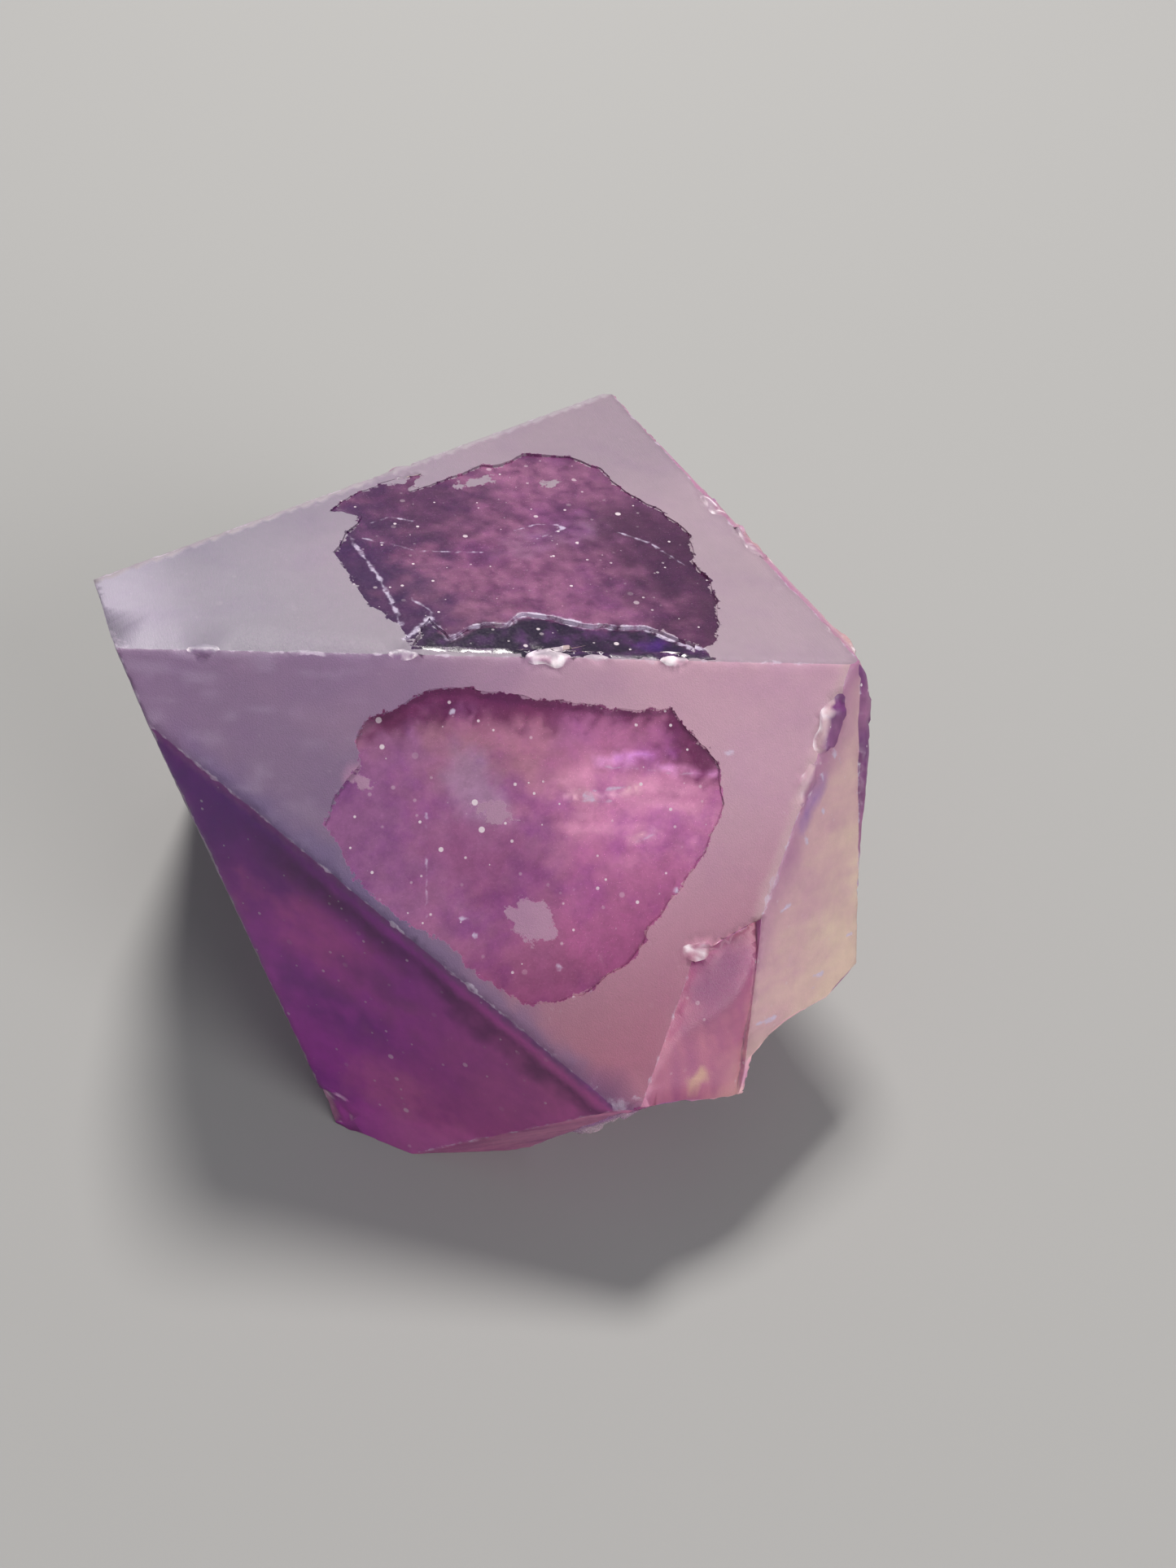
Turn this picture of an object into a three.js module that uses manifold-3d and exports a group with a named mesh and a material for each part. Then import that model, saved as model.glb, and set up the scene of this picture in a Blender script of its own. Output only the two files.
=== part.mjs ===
// Amethyst point: the six-sided tip of a quartz crystal, broken off its geode and lying on its side.
// Millimetres, +Z up. The crystal's long axis lies in the XZ plane, and its tip points to -X.
// Each crystal face keeps the angle that quartz gives it. Its distance from the tip makes the shape.
import * as THREE from 'three';
import { mergeVertices } from 'three/addons/utils/BufferGeometryUtils.js';
import { ImprovedNoise } from 'three/addons/math/ImprovedNoise.js';
import Module from 'manifold-3d';

// ---- driving dimensions (mm and degrees) ----
const FACE_SLOPE = 51.8;         // between the long axis and a tip face's normal, the same in all quartz
const LEAN = 45.1;               // how far the long axis rises above the surface that it rests on
const SPIN = 4.9;                // turn of the top face about the long axis
const TIP_HEIGHT = 38.9;         // from the resting surface up to where top, front and left faces meet

// Six pairs of faces round the long axis. Both distances are measured from the tip point:
// the tip face along its own normal, and the side face straight out from the long axis.
const FACES = {
  top: { step: 0, tip: 0, side: 33.6 },
  back: { step: 1, tip: 4.1, side: 38.3 },
  rear: { step: 2, tip: 6.2, side: 39.3 },
  nose: { step: 3, tip: -3.8, side: 26.6 },
  left: { step: 4, tip: 0, side: 29.9 },
  front: { step: 5, tip: 0, side: 33.1 },
};

// Broken surfaces: where each one faces, how far it lies from the tip, and the height of its lumps.
const BREAKS = [
  { azimuth: 6, elevation: -18, distance: 54.1, relief: 1.1, seed: 3 },      // across the base
  { azimuth: -50, elevation: 18.9, distance: 43.1, relief: 0.25, seed: 11 }, // glassy bevel at the right
  { azimuth: -60, elevation: -52, distance: 51.8, relief: 0.8, seed: 23 },   // under the front side face
  { azimuth: -92, elevation: -25, distance: 40.9, relief: 0.2, seed: 19 },   // under the left side face
  { azimuth: 38, elevation: -56, distance: 52.5, relief: 1, seed: 29 },      // under the base
];
const LUMP = 5;                  // spacing of the lumps on a broken surface

// Unpolished windows in the ground faces, as [down from the tip, across] on the face.
const TOP_WINDOW = [
  [23.5, -7.3], [28, -9], [33, -10.9], [39.5, -13.2], [43, -14.3], [44.6, -13.9], [46, -12.5], [47.6, -9],
  [48.4, -6], [48.4, -3], [49.5, -1.4], [50, 1], [49.4, 4.5], [48, 7.5], [47.2, 12.3], [45.6, 14.8],
  [42, 16.4], [39.4, 15.3], [37, 15.4], [33, 13.7], [30.4, 13], [32.2, 15.6], [28.5, 15], [25.4, 13.5],
  [23.2, 11.8], [25.4, 10.4], [23.6, 8.6], [21.8, 6], [22, -0.5], [23.4, -4.7],
];
const TOP_CHIPPED_STRIP = [
  [23.5, -7.2], [33, -10.8], [43, -14.2], [43.6, -13.2], [41, -10.1], [36.6, -8.4], [34.8, -6.8],
  [32.7, -5.7], [31, -6.7], [29.5, -5.9], [26.6, -7], [26, -4.2],
];
const FRONT_WINDOW = [
  [21.7, 2.5], [23.4, 4.2], [25.5, 6.7], [28.5, 7.7], [33, 8.6], [38, 9.7], [42, 11.2], [44.6, 9.8],
  [46.5, 8.7], [48, 6], [48, 2.5], [47, -1.5], [46, -4.5], [45.5, -7], [43, -10.5], [40, -12.2], [37, -12],
  [32.5, -10.2], [29, -9.7], [25, -8], [21.8, -5.2], [21.5, -3.5], [22.5, -0.4], [21.6, 1.4],
];
const BACK_WINDOW = [
  [20, -1], [26, -3.6], [33, -6.2], [39, -6.5], [45, -9.5], [49, -5], [47.5, 3], [49, 8], [44, 12.5],
  [37, 11], [31, 12.5], [25, 8.5], [22.5, 4], [18.5, 1.5],
];
const REAR_WINDOW = [
  [29, -5], [32, -8.5], [37, -9.5], [43, -12.5], [47, -9], [46, -4], [43, -0.5], [38, -1], [34, -2.5],
];
const WINDOWS = [
  { face: 'top', outline: TOP_WINDOW, depth: 0.55, relief: 0.35, seed: 31 },
  { face: 'top', outline: TOP_CHIPPED_STRIP, depth: 1.1, relief: 0.3, seed: 37 },
  { face: 'front', outline: FRONT_WINDOW, depth: 0.5, relief: 0.3, seed: 41 },
  { face: 'back', outline: BACK_WINDOW, depth: 0.5, relief: 0.35, seed: 43 },
  { face: 'rear', outline: REAR_WINDOW, depth: 0.45, relief: 0.3, seed: 47 },
];
const WINDOW_LUMP = 3.5;         // spacing of the growth hillocks in a window
const WINDOW_REACH = 49;         // side of the square that holds any window's outline
const WINDOW_MIDDLE = { x: 36, y: 0 };

// The front side face is set back along its lower corner, as [down the long axis, across].
const LEDGE_OUTLINE = [[42.1, -0.8], [38.2, -6.5], [38.2, -40], [54, -32]];
const LEDGE_SIDE = 30.8;         // distance of the set-back face from the long axis

// Chips along the edges: the face, the place on it, the chip's radius and the turn of its long way.
const ALONG_TOP_FRONT = -20;
const ALONG_TOP_BACK = 20;
const ALONG_BASE = 90;
const CHIPS = [
  { face: 'top', down: 9.6, across: -3.3, radius: 0.7, turn: ALONG_TOP_FRONT },
  { face: 'top', down: 22.6, across: -8.1, radius: 0.7, turn: ALONG_TOP_FRONT },
  { face: 'top', down: 32.4, across: -11.6, radius: 1.1, turn: ALONG_TOP_FRONT },
  { face: 'top', down: 35.6, across: -12.7, radius: 0.6, turn: ALONG_TOP_FRONT },
  { face: 'top', down: 41, across: -14.7, radius: 0.7, turn: ALONG_TOP_FRONT },
  { face: 'top', down: 27, across: 17.2, radius: 1.2, turn: ALONG_TOP_BACK },
  { face: 'top', down: 30.4, across: 18.4, radius: 1.7, turn: ALONG_TOP_BACK },
  { face: 'top', down: 54.6, across: 4, radius: 1.3, turn: ALONG_BASE },
  { face: 'top', down: 55.3, across: -2, radius: 1.7, turn: ALONG_BASE },
  { face: 'top', down: 55.4, across: -14.8, radius: 1.4, turn: ALONG_BASE },
  { face: 'front', down: 54, across: 14.5, radius: 1.6, turn: ALONG_BASE },
  { face: 'front', down: 53.6, across: 9.5, radius: 1, turn: ALONG_BASE },
  { face: 'front', down: 50, across: -4.6, radius: 0.8, turn: 30 },
  { face: 'left', down: 41.5, across: -9.4, radius: 2, turn: 50 },
];
const CHIP_LENGTH = 1.8;         // a chip's length over its radius
const CHIP_LIFT = 0.35;          // how far a chip's middle stands off the face, over its radius

// Shell-shaped scoops, as the middle and the radius of the ball that would fit each one.
const SCOOPS = [
  { x: 50.3, y: -45.6, z: -34.9, radius: 18 },   // corner under the front side face
  { x: 91.8, y: 18, z: -32, radius: 45 },        // three broad shells on the broken base
  { x: 91, y: -4, z: -39, radius: 45 },
  { x: 85.5, y: 36, z: -43, radius: 45 },
  { x: 47, y: -8, z: -58, radius: 23 },          // three under it
  { x: 33, y: 35, z: -62, radius: 27 },
  { x: 4, y: 44, z: -56, radius: 22 },
];
const SCOOP_STEP = 3.2;          // size of the flats that a scoop is built from
const SCOOP_LUMP = 8;            // spacing of a scoop's own lumps
const SCOOP_RELIEF = 0.9;        // and their height

const BROAD_LUMPS = 0.31;        // lumps of a broken surface or a window, as waves per spacing
const FINE_LUMPS = 0.77;

const BLOCK = 260;               // side of the blocks that are cut with, larger than the crystal
const BREAK_REACH = 140;         // side of the lumpy block that cuts a broken surface
const OVERCUT = 4;               // how far a window's cutters stand out of the face
const WELD = 1e-4;               // points closer than this are one point

// ---- solids ----
const wasm = await Module();
wasm.setup();
const noise = new ImprovedNoise();

function solid(geometry, matrix) {
  const bare = geometry.clone().applyMatrix4(matrix);
  bare.deleteAttribute('normal');
  bare.deleteAttribute('uv');
  const merged = mergeVertices(bare, WELD);
  return new wasm.Manifold(new wasm.Mesh({
    numProp: 3,
    vertProperties: Float32Array.from(merged.attributes.position.array),
    triVerts: Uint32Array.from(merged.index.array),
  }));
}

function geometryOf(manifold) {
  const mesh = manifold.getMesh();
  const geometry = new THREE.BufferGeometry();
  geometry.setAttribute('position', new THREE.BufferAttribute(mesh.vertProperties, 3));
  geometry.setIndex(new THREE.BufferAttribute(mesh.triVerts, 1));
  return geometry;
}

// ---- places: the tip point is at the origin, and the crystal already lies at rest ----
const radians = THREE.MathUtils.degToRad;
const layDown = new THREE.Matrix4().makeRotationY(radians(LEAN - 90));
const longAxis = new THREE.Vector3(0, 0, 1).applyMatrix4(layDown);
const slope = radians(FACE_SLOPE);

// A face's three directions: out of its side face, across it, and out of its tip face.
function directions(name) {
  const turn = radians(SPIN + 60 * FACES[name].step);
  const side = new THREE.Vector3(Math.cos(turn), Math.sin(turn), 0).applyMatrix4(layDown);
  const across = new THREE.Vector3().crossVectors(longAxis, side);
  const tip = side.clone().multiplyScalar(Math.sin(slope)).addScaledVector(longAxis, Math.cos(slope));
  return { side, across, tip };
}

// Drawing plane of a tip face: x runs down from the tip, y across, z out of the face.
function tipPlane(name) {
  const { across, tip } = directions(name);
  const down = new THREE.Vector3().crossVectors(across, tip);
  const plane = new THREE.Matrix4().makeBasis(down, across, tip);
  return plane.setPosition(tip.clone().multiplyScalar(FACES[name].tip));
}

// Drawing plane of a side face: x runs down the long axis, y across, z out of the face.
function sidePlane(name, distance) {
  const { side, across } = directions(name);
  const plane = new THREE.Matrix4().makeBasis(longAxis.clone().negate(), across, side);
  return plane.setPosition(side.clone().multiplyScalar(distance));
}

// Plane that faces an azimuth and an elevation, at a distance from the tip point.
function breakPlane({ azimuth, elevation, distance }) {
  const out = new THREE.Vector3().setFromSphericalCoords(1, radians(90 - elevation), radians(azimuth));
  const normal = new THREE.Vector3(out.z, out.x, out.y);
  const turn = new THREE.Quaternion().setFromUnitVectors(new THREE.Vector3(0, 0, 1), normal);
  const plane = new THREE.Matrix4().makeRotationFromQuaternion(turn);
  return plane.setPosition(normal.multiplyScalar(distance));
}

// ---- cutters ----
// Everything above a drawing plane.
function above(plane) {
  return solid(new THREE.BoxGeometry(BLOCK, BLOCK, BLOCK).translate(0, 0, BLOCK / 2), plane);
}

// A block whose lower face is lumpy: the lumps reach from about 0 to relief above its own z = 0.
function lumpyBlock(size, middle, spacing, relief, seed, height) {
  const cells = Math.round(size / spacing);
  const block = new THREE.BoxGeometry(size, size, height, cells, cells, 1);
  block.translate(middle.x, middle.y, height / 2);
  const points = block.attributes.position;
  for (let i = 0; i < points.count; i += 1) {
    if (points.getZ(i) > height / 2) continue;
    const u = points.getX(i) / spacing;
    const v = points.getY(i) / spacing;
    const broad = noise.noise(u * BROAD_LUMPS, v * BROAD_LUMPS, seed);
    const fine = noise.noise(u * FINE_LUMPS, v * FINE_LUMPS, seed + 0.5);
    points.setZ(i, relief * (0.5 + broad + 0.5 * fine));
  }
  return block;
}

function windowCutter({ face, outline, depth, relief, seed }) {
  const shape = new THREE.Shape(outline.map(([down, across]) => new THREE.Vector2(down, across)));
  const walls = new THREE.ExtrudeGeometry(shape, { depth: 2 * OVERCUT, bevelEnabled: false });
  const floor = lumpyBlock(WINDOW_REACH, WINDOW_MIDDLE, WINDOW_LUMP, relief, seed, OVERCUT);
  walls.translate(0, 0, -OVERCUT);
  floor.translate(0, 0, -depth);
  const plane = tipPlane(face);
  return solid(walls, plane).intersect(solid(floor, plane));
}

function ledgeCutter() {
  const shape = new THREE.Shape(LEDGE_OUTLINE.map(([down, across]) => new THREE.Vector2(down, across)));
  const recess = new THREE.ExtrudeGeometry(shape, { depth: OVERCUT, bevelEnabled: false });
  return solid(recess, sidePlane('front', LEDGE_SIDE));
}

function breakCutter(broken) {
  const middle = { x: 0, y: 0 };
  const block = lumpyBlock(BREAK_REACH, middle, LUMP, broken.relief, broken.seed, BREAK_REACH / 2);
  return solid(block, breakPlane(broken));
}

function chipCutter({ face, down, across, radius, turn }) {
  const chip = new THREE.IcosahedronGeometry(radius, 1).scale(CHIP_LENGTH, 1, 1).rotateZ(radians(turn));
  return solid(chip.translate(down, across, radius * CHIP_LIFT), tipPlane(face));
}

function scoopCutter({ x, y, z, radius }) {
  const steps = Math.round((Math.PI * radius) / SCOOP_STEP);
  const ball = new THREE.SphereGeometry(radius, 2 * steps, steps);
  const points = ball.attributes.position;
  const point = new THREE.Vector3();
  for (let i = 0; i < points.count; i += 1) {
    point.fromBufferAttribute(points, i);
    const lump = point.clone().divideScalar(SCOOP_LUMP);
    point.setLength(radius + SCOOP_RELIEF * noise.noise(lump.x, lump.y, lump.z));
    points.setXYZ(i, point.x, point.y, point.z);
  }
  return solid(ball, new THREE.Matrix4().makeTranslation(x, y, z));
}

// ---- the crystal ----
function crystal() {
  const start = new THREE.BoxGeometry(BLOCK / 2, BLOCK / 2, BLOCK / 2);
  let body = solid(start, new THREE.Matrix4());
  for (const [name, face] of Object.entries(FACES)) {
    body = body.subtract(above(tipPlane(name)));
    body = body.subtract(above(sidePlane(name, face.side)));
  }
  body = body.subtract(ledgeCutter());
  for (const broken of BREAKS) body = body.subtract(breakCutter(broken));
  for (const scoop of SCOOPS) body = body.subtract(scoopCutter(scoop));
  for (const window of WINDOWS) body = body.subtract(windowCutter(window));
  for (const chip of CHIPS) body = body.subtract(chipCutter(chip));
  const underSurface = new THREE.Matrix4().makeTranslation(0, 0, -TIP_HEIGHT - BLOCK / 2);
  return body.subtract(solid(new THREE.BoxGeometry(BLOCK, BLOCK, BLOCK), underSurface));
}

const amethyst = new THREE.MeshStandardMaterial({ color: 0x7a4a86, roughness: 0.55, metalness: 0 });
const point = new THREE.Mesh(geometryOf(crystal()), amethyst);
point.name = 'amethyst_point';

// The part's origin is under the middle of its box, on the surface that it rests on.
point.geometry.computeBoundingBox();
const box = point.geometry.boundingBox;
point.position.set(-(box.min.x + box.max.x) / 2, -(box.min.y + box.max.y) / 2, -box.min.z);

const group = new THREE.Group();
group.add(point);
export default group;
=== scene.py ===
import math

import bpy
import numpy as np
from mathutils import Matrix, Vector, noise
from mathutils.geometry import delaunay_2d_cdt
from mathutils.kdtree import KDTree


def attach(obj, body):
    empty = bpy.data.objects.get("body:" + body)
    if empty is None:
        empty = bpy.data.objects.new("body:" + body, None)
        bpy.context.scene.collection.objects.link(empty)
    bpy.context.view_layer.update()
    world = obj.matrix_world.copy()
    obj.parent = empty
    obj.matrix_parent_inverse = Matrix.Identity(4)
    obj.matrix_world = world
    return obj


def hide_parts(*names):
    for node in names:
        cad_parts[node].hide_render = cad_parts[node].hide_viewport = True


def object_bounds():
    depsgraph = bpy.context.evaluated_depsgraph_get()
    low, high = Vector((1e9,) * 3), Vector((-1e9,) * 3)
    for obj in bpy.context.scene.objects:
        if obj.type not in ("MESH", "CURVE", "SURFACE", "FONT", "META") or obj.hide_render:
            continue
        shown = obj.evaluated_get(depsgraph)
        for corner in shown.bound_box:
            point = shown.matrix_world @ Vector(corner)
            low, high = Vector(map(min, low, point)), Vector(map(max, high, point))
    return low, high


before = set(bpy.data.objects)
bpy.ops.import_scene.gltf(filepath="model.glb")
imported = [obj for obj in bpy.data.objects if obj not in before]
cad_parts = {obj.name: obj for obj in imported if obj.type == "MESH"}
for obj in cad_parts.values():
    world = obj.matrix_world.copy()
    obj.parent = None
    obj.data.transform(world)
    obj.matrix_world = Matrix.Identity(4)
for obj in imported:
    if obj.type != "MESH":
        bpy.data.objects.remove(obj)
cad_box = [list(corner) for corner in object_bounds()]
rng = np.random.default_rng(7)
noise.seed_set(7)  # noise_vector depends on it

MM = 0.001
SPACING = 0.45  # between the points of the fine mesh
WELD = 0.002  # corners nearer than this are one
IN_PLANE = 0.02  # a triangle with its corners this near to a face's plane lies in it

# ---- the crystal, as in the solid ----
SLOPE = math.radians(51.8)  # between the long axis and the way out of a tip face
LEAN = math.radians(45.1)  # of the long axis over the floor
SPIN = math.radians(4.9)  # round it
TIP = np.array([-30.137, -4.463, 38.9])  # where the top, front and left faces meet
NAMES = ["top", "back", "rear", "nose", "left", "front"]
# Distances of the tip faces and the side faces from the tip.
TIP_FACE = {"top": 0, "back": 4.1, "rear": 6.2, "nose": -3.8, "left": 0, "front": 0}
SIDE_FACE = {"top": 33.6, "back": 38.3, "rear": 39.3, "nose": 26.6, "left": 29.9, "front": 33.1}
RIDGE = 0.357  # how far a ridge between two tip faces moves across for each mm down
LEDGE = 30.8  # the ledge lies lower than the front side face
STEP_START = (42.1, -0.8)  # where the step down to the ledge starts, as along and across
STEP_RUN = (0.356, -0.934)  # the way it runs
STEP_HEIGHT = 2.3
NEARER = 0.786  # a mm out of a side face brings a point this much nearer to its tip face
BEVEL_TURN, BEVEL_RISE, BEVEL_DISTANCE = math.radians(-50), math.radians(18.9), 43.1
BEVEL_CORNER, CORNER_REACH = [26.71, -19.78, 31.49], 2.4  # the corner above it, worn this far round
WINDOW_DEPTH = 1.8  # no window is deeper
WINDOWS_END = 50.5  # nor lies farther down its face

QUARTZ_IOR = 1.544
FOCAL_LENGTH = 31.76  # for a sensor 36 wide
CAMERA_FROM_TIP = np.array([9.56, -79.46, 64.6])
CAMERA_ANGLES = (42, 0, -20.65)

# How the scene departs from the solid.
SHALLOW = 0.45  # depth of the windows over their depth in the solid
CHIP_DEPTH = 0.12  # depth of the chips over their depth in the solid
CHIP_REACH = 2.5  # nothing deeper than this belongs to a chip
BEVEL_RELIEF = 0.25  # strength of the relief on the bevel over that on the base
BULGE, BULGE_HEIGHT, BULGE_SPREAD = 0.4, 26.5, 4.5  # how much, and where, the bevel stands out

# ---- what the photo shows on the faces, as down and across on the named tip face ----
CHIPS = [  # face, down, across and radius of each chip along the edges, and how white it is
    ("top", 9.6, -3.3, 0.7, 0.1),
    ("top", 22.6, -8.1, 0.7, 0.3),
    ("top", 32.4, -11.6, 1.1, 0.65),
    ("top", 35.6, -12.7, 0.6, 0.2),
    ("top", 41, -14.7, 0.7, 0.4),
    ("top", 27, 17.2, 1.2, 0.2),
    ("top", 30.4, 18.4, 1.7, 0.1),
    ("top", 54.6, 4, 1.3, 0.2),
    ("top", 55.3, -2, 1.7, 0.1),
    ("top", 55.4, -14.8, 1.4, 0.1),
    ("front", 54, 14.5, 1.6, 0.5),
    ("front", 53.6, 9.5, 1, 0.15),
    ("front", 50, -4.6, 0.8, 0.3),
    ("left", 41.5, -9.4, 2, 0.05),
]
TOP_CRACKS = [  # the first has the dark strip under it
    [(23.2, -6.5), (26, -4.1), (26.4, -7.1), (29.5, -5.9), (31, -6.7), (32.7, -5.7), (34.8, -6.8),
     (36.6, -8.4), (38.9, -9.3), (40.9, -10), (43.2, -13.2), (43.9, -14.5)],
    [(23.5, 8.2), (24, 2.4), (23.9, -1.9), (23.7, -4.4)],
]
TOP_SCRATCHES = [  # fainter ones in its window
    [(24.5, 7.5), (28, 4.6), (33, 2.8)],
    [(36.5, 5.2), (38.6, 5.6), (40.2, 5)],
    [(37.5, 3.4), (40.6, 4.4)],
    [(44.5, 2.6), (46.3, 0.5), (47.8, -3.6)],
    [(25.8, 9.4), (27.4, 9.8), (29, 8.8)],
    [(25.5, -1.5), (26.8, -4.4)],
]
FRONT_STREAKS = [  # in its window
    [(37.2, 2.3), (39.4, 3.1), (41.4, 4)],
    [(38.2, 3.4), (40.8, 4.7)],
    [(39, 5.6), (41.2, 6.3)],
    [(42, 6.5), (44.2, 7), (46.8, 8.1)],
    [(43, 1.2), (44.3, 2.6)],
    [(28.1, -2), (31.1, -10.1)],
]
FRONT_GLINTS = [  # wide soft streaks of light with their colours
    ([(37.2, 2.6), (39.6, 3.6), (41.6, 4.9)], (255, 206, 216)),
    ([(38.4, 5.7), (41.5, 6.6), (46.8, 8)], (230, 160, 220)),
    ([(42.6, 1.2), (44, 2.6)], (255, 210, 216)),
    ([(39.4, 6.6), (43.6, 8.4)], (228, 160, 226)),
]
# The upper outline of the front window; its shadow is painted along it.
FRONT_WINDOW_TOP = [(22.6, 4.6), (25.3, 7.2), (29.2, 8.4), (35, 9.4), (41.8, 11.6), (45, 9.6)]
FRONT_SPARKLES = [
    [(33, -8.2), (33.3, -8)], [(34.2, -9), (34.4, -9)],
    [(27.2, 5.4), (27.3, 5.5)], [(40.6, -9), (40.8, -9.1)],
    [(47, 9.6), (47.4, 9.9)], [(46.8, -1.2), (47, -1)],
    [(52.6, -3.6), (52.9, -2.9)],
]
SIDE_SPARKLES = [  # as along the axis and across on the front side face
    [(43.1, 10.8), (43.6, 10.2)], [(42.8, 13.2), (43.9, 12.4)],
    [(44.6, 12.4), (44.8, 12.2)], [(43.8, 5.9), (44.1, 5.7)],
    [(44, 0.2), (44.8, 0.9)], [(50.6, -3.5), (51.6, -3)],
    [(50.9, -4.4), (51.2, -4.3)], [(53, 0.3), (53.5, 0.6)],
    [(45.8, -8.3), (47.6, -7.4)], [(44.6, 8.3), (44.8, 8.2)],
]
SIDE_PATCHES = [(42.9, 8.4), (43.1, 6.6), (43.6, 9.6)]  # violet ones there
# Islands that were ground with the face: middle, half lengths and turn in degrees.
TOP_ISLANDS = [
    ((36.2, 13.3), (1.6, 0.6), 10),
    ((42.4, 11.4), (0.8, 0.5), 0),
    ((29.7, 15.6), (1.5, 1.1), 30),
]
FRONT_ISLANDS = [
    ((32.7, -0.2), (1.4, 0.7), 10),
    ((37.8, -6.6), (1.9, 1.3), -20),
    ((23, -1.3), (0.6, 0.5), 0),
]
LEFT_PATCHES = [  # dark patches: middle, half lengths and strength
    ((31, -1.2), (3.2, 1.2), 0.45),
    ((36.1, -1.1), (2.6, 1.2), 0.25),
    ((39.6, -7.5), (3, 1), 0.25),
    ((32.3, 5.1), (1.2, 0.6), 0.45),
]

lay_down = np.array(Matrix.Rotation(LEAN - math.pi / 2, 3, "Y"))
AXIS = lay_down @ np.array([0, 0, 1.0])
BEVEL = np.array([math.cos(BEVEL_RISE) * math.cos(BEVEL_TURN),
                  math.cos(BEVEL_RISE) * math.sin(BEVEL_TURN), math.sin(BEVEL_RISE)])


def directions(name):
    """Down the tip face, across it, out of it, and out of the side face under it."""
    turn = SPIN + math.radians(60) * NAMES.index(name)
    side = lay_down @ np.array([math.cos(turn), math.sin(turn), 0])
    across = np.cross(AXIS, side)
    out = side * math.sin(SLOPE) + AXIS * math.cos(SLOPE)
    return np.cross(across, out), across, out, side


DIRECTIONS = {name: directions(name) for name in NAMES}


def on_face(name, places):
    """Places as down, across and height on a tip face."""
    down, across, out, _ = DIRECTIONS[name]
    local = np.asarray(places) - TIP
    return local @ down, local @ across, local @ out - TIP_FACE[name]


def from_side(name, places):
    """How far the places lie out from the tip, square to a side face."""
    return (places - TIP) @ DIRECTIONS[name][3]


def spots_along(lines):
    """Places every third of a millimetre along lines."""
    found = []
    for line in lines:
        for start, end in zip(np.array(line[:-1], float), np.array(line[1:], float)):
            count = max(1, round(np.linalg.norm(end - start) / 0.33))
            found += [start + (end - start) * i / count for i in range(count)]
        found.append(np.array(line[-1], float))
    return np.array(found)


def seeds_on(name, lines, on_side=False):
    """Points along lines on a tip face or the side face under it, and the way they drop on it."""
    down, across, out, side = DIRECTIONS[name]
    level = out * TIP_FACE[name]
    if on_side:  # these lines run along the axis and across
        down, out, level = -AXIS, side, side * SIDE_FACE[name]
    spots = spots_along(lines)
    return TIP + np.outer(spots[:, 0], down) + np.outer(spots[:, 1], across) + level, out


def near_chips(places, reach, depth):
    """Which places lie in or beside a chip, within so many of its radii across and deep."""
    found = np.zeros(len(places), bool)
    for name, down_at, across_at, radius, _ in CHIPS:
        down, across, height = on_face(name, places)
        gap = np.hypot(down - down_at, across - across_at)
        found |= (gap < reach * radius) & (np.abs(height) < depth * radius)
    return found


# ---- read the solid: welded corners, triangles and the face that each triangle lies in ----
def welded(mesh):
    """The corners of a mesh, each of them once, and its triangles."""
    corners = np.array([v.co for v in mesh.vertices]) / MM
    key = np.round(corners / WELD).astype(np.int64)
    _, first, place = np.unique(key, axis=0, return_index=True, return_inverse=True)
    triangles = np.array([[place.reshape(-1)[i] for i in p.vertices] for p in mesh.polygons])
    keep = [len(set(t)) == 3 for t in triangles]
    return corners[first], triangles[keep]


corners, triangles = welded(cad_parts["amethyst_point"].data)
spans = corners[triangles]
normals = np.cross(spans[:, 1] - spans[:, 0], spans[:, 2] - spans[:, 0])
areas = np.linalg.norm(normals, axis=1)
normals /= np.maximum(areas, 1e-12)[:, None]

# Kinds of surface: tip and side faces, windows' floors and walls, the ledge, breaks, the flat side.
GROUND, SIDE, FLOOR, WALL, LEDGED, BROKEN, REST = range(7)
FLAT = (GROUND, SIDE, LEDGED, REST)
TIP_KINDS = (GROUND, FLOOR, WALL)
kind = np.full(len(triangles), BROKEN)
face_of = np.full(len(triangles), -1)
in_chip = near_chips(spans.mean(1), 1.9, 1.5)
for number, name in enumerate(NAMES):
    height = np.stack([on_face(name, spans[:, i])[2] for i in range(3)], axis=1)
    facing = normals @ DIRECTIONS[name][2]
    flat = np.abs(height).max(1) < IN_PLANE
    kind[flat], face_of[flat] = GROUND, number
    shallow = (height.min(1) > -WINDOW_DEPTH) & (height.max(1) < IN_PLANE) & ~flat & (kind == BROKEN)
    shallow &= (on_face(name, spans.mean(1))[0] < WINDOWS_END) & ~in_chip
    kind[shallow & (facing > 0.8)] = FLOOR
    kind[shallow & (np.abs(facing) < 0.5)] = WALL
    face_of[shallow] = number
    beside = np.abs(from_side(name, spans) - SIDE_FACE[name]).max(1) < IN_PLANE
    kind[beside], face_of[beside] = SIDE, number
kind[np.abs(from_side("front", spans) - LEDGE).max(1) < IN_PLANE] = LEDGED
face_of[kind == LEDGED] = NAMES.index("front")
kind[spans[:, :, 2].max(1) < 0.5 * IN_PLANE] = REST


# ---- group the flat triangles; every other triangle is a group of its own ----
def sides_by_edge(faces, values):
    """For each edge, the values of the triangles beside it."""
    found = {}
    for face, value in zip(faces, values):
        for a, b in zip(face, np.roll(face, -1)):
            found.setdefault((min(a, b), max(a, b)), []).append(value)
    return found


edge_sides = sides_by_edge(triangles, range(len(triangles)))
group = np.arange(len(triangles))


def root(i):
    """The triangle that stands for the whole group."""
    while group[i] != i:
        group[i] = group[group[i]]
        i = group[i]
    return i


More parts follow.
